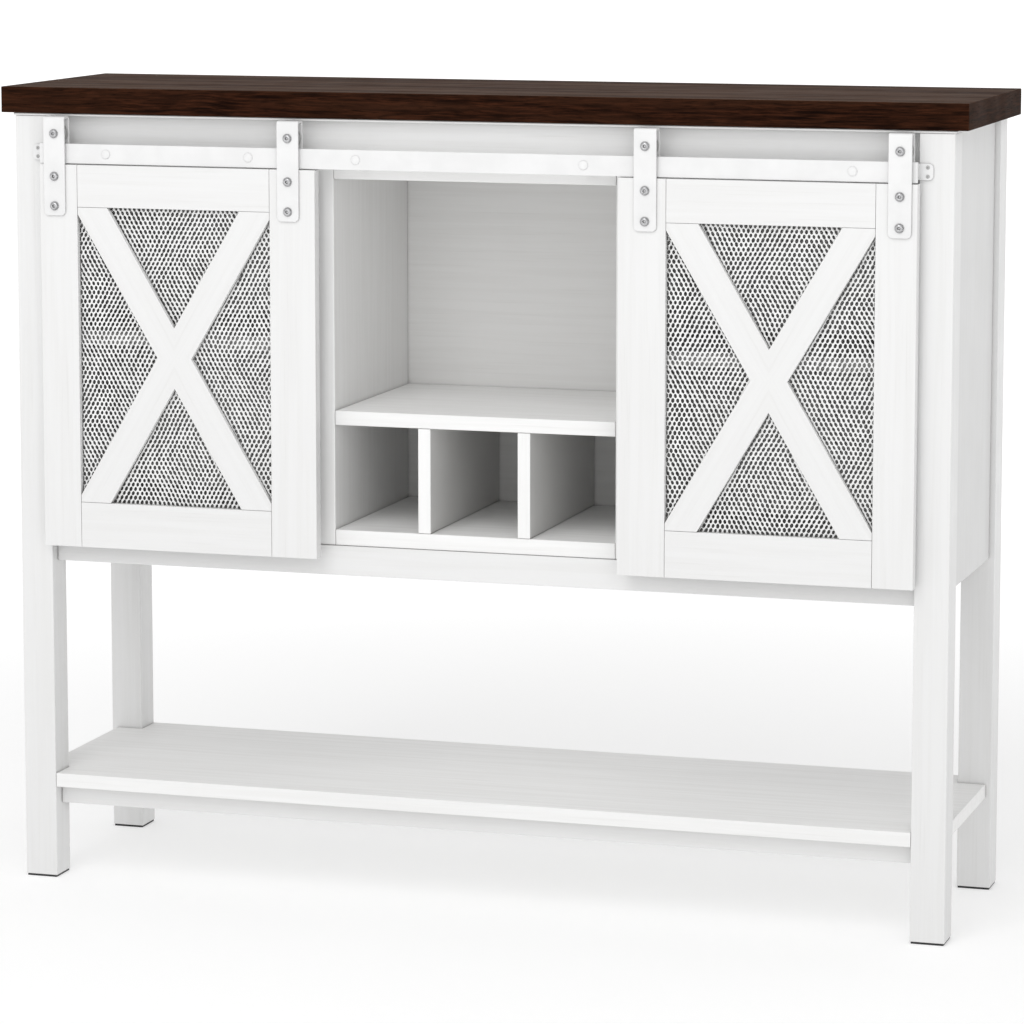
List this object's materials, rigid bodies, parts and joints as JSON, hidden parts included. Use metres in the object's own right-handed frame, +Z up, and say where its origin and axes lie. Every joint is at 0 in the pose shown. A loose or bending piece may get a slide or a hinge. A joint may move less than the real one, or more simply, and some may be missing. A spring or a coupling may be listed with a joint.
{
  "type": "sideboard buffet",
  "caption": "Narrow sideboard with a dark wood top, white carcass on square legs, sliding mesh doors on a flat track, an open centre niche over bottle cubbies and a low open shelf.",
  "frame": {"origin": "on the floor, under the centre of the object's bounding box", "axes": "+X to the right of a person facing the doors, +Y towards the back, +Z up"},
  "size_m": [1.1, 0.3208, 0.905],
  "materials": {
    "walnut": "dark stained open-grain wood, satin",
    "white_paint": "white painted board with a faint embossed grain",
    "inner_paint": "white painted board inside the cabinet",
    "white_steel": "white powder coat, semi-gloss",
    "mesh_steel": "white coated expanded metal mesh",
    "zinc": "zinc plated",
    "nylon": "moulded, satin",
    "glide": "matt"
  },
  "bodies": {
    "carcass": {"back_panel": "inner_paint", "bottle_divider_left": "inner_paint", "bottle_divider_right": "inner_paint", "cabinet_apron": "white_paint", "center_floor": "inner_paint", "center_shelf": "inner_paint", "foot_glide_back_left": "glide", "foot_glide_back_right": "glide", "foot_glide_front_left": "glide", "foot_glide_front_right": "glide", "frieze": "white_paint", "leg_back_left": "white_paint", "leg_back_right": "white_paint", "leg_front_left": "white_paint", "leg_front_right": "white_paint", "lower_shelf": "white_paint", "niche_header": "inner_paint", "partition_left": "inner_paint", "partition_right": "inner_paint", "rail_bolt_1": "white_steel", "rail_bolt_2": "white_steel", "rail_bolt_3": "white_steel", "rail_bolt_4": "white_steel", "rail_bolt_5": "white_steel", "rail_end_bracket_left": "white_steel", "rail_end_bracket_right": "white_steel", "shelf_apron": "white_paint", "side_floor_left": "inner_paint", "side_floor_right": "inner_paint", "side_panel_left": "white_paint", "side_panel_right": "white_paint", "side_shelf_left": "inner_paint", "side_shelf_right": "inner_paint", "sub_top": "white_paint", "top_board": "walnut", "track_rail": "white_steel"},
    "left_door": {"left_door_bottom_rail": "white_paint", "left_door_brace": "white_paint", "left_door_inner_stile": "white_paint", "left_door_mesh": "mesh_steel", "left_door_outer_stile": "white_paint", "left_door_top_rail": "white_paint", "left_inner_axle_bolt": "zinc", "left_inner_hanger": "white_steel", "left_outer_axle_bolt": "zinc", "left_outer_hanger": "white_steel"},
    "right_door": {"right_door_bottom_rail": "white_paint", "right_door_brace": "white_paint", "right_door_inner_stile": "white_paint", "right_door_mesh": "mesh_steel", "right_door_outer_stile": "white_paint", "right_door_top_rail": "white_paint", "right_inner_axle_bolt": "zinc", "right_inner_hanger": "white_steel", "right_outer_axle_bolt": "zinc", "right_outer_hanger": "white_steel"},
    "left_outer_wheel": {"left_outer_roller": "nylon"},
    "left_inner_wheel": {"left_inner_roller": "nylon"},
    "right_inner_wheel": {"right_inner_roller": "nylon"},
    "right_outer_wheel": {"right_outer_roller": "nylon"}
  },
  "joints": [
    {"name": "left_door_slide", "type": "slide", "parent": "carcass", "child": "left_door", "axis": [1, 0, 0], "range_m": [0, 0.17]},
    {"name": "right_door_slide", "type": "slide", "parent": "carcass", "child": "right_door", "axis": [-1, 0, 0], "range_m": [0, 0.17]},
    {"name": "left_outer_roll", "type": "hinge", "parent": "left_door", "child": "left_outer_wheel", "pos_m": [-0.479, -0.14965, 0.8545], "axis": [0, 1, 0], "continuous": true},
    {"name": "left_inner_roll", "type": "hinge", "parent": "left_door", "child": "left_inner_wheel", "pos_m": [-0.202, -0.14965, 0.8545], "axis": [0, 1, 0], "continuous": true},
    {"name": "right_inner_roll", "type": "hinge", "parent": "right_door", "child": "right_inner_wheel", "pos_m": [0.204, -0.14965, 0.8545], "axis": [0, 1, 0], "continuous": true},
    {"name": "right_outer_roll", "type": "hinge", "parent": "right_door", "child": "right_outer_wheel", "pos_m": [0.481, -0.14965, 0.8545], "axis": [0, 1, 0], "continuous": true}
  ],
  "couplings": [
    {"joint": "left_outer_roll", "follows": "left_door_slide", "rad_per_m": 90.909},
    {"joint": "left_inner_roll", "follows": "left_door_slide", "rad_per_m": 90.909},
    {"joint": "right_inner_roll", "follows": "right_door_slide", "rad_per_m": -90.909},
    {"joint": "right_outer_roll", "follows": "right_door_slide", "rad_per_m": -90.909}
  ]
}
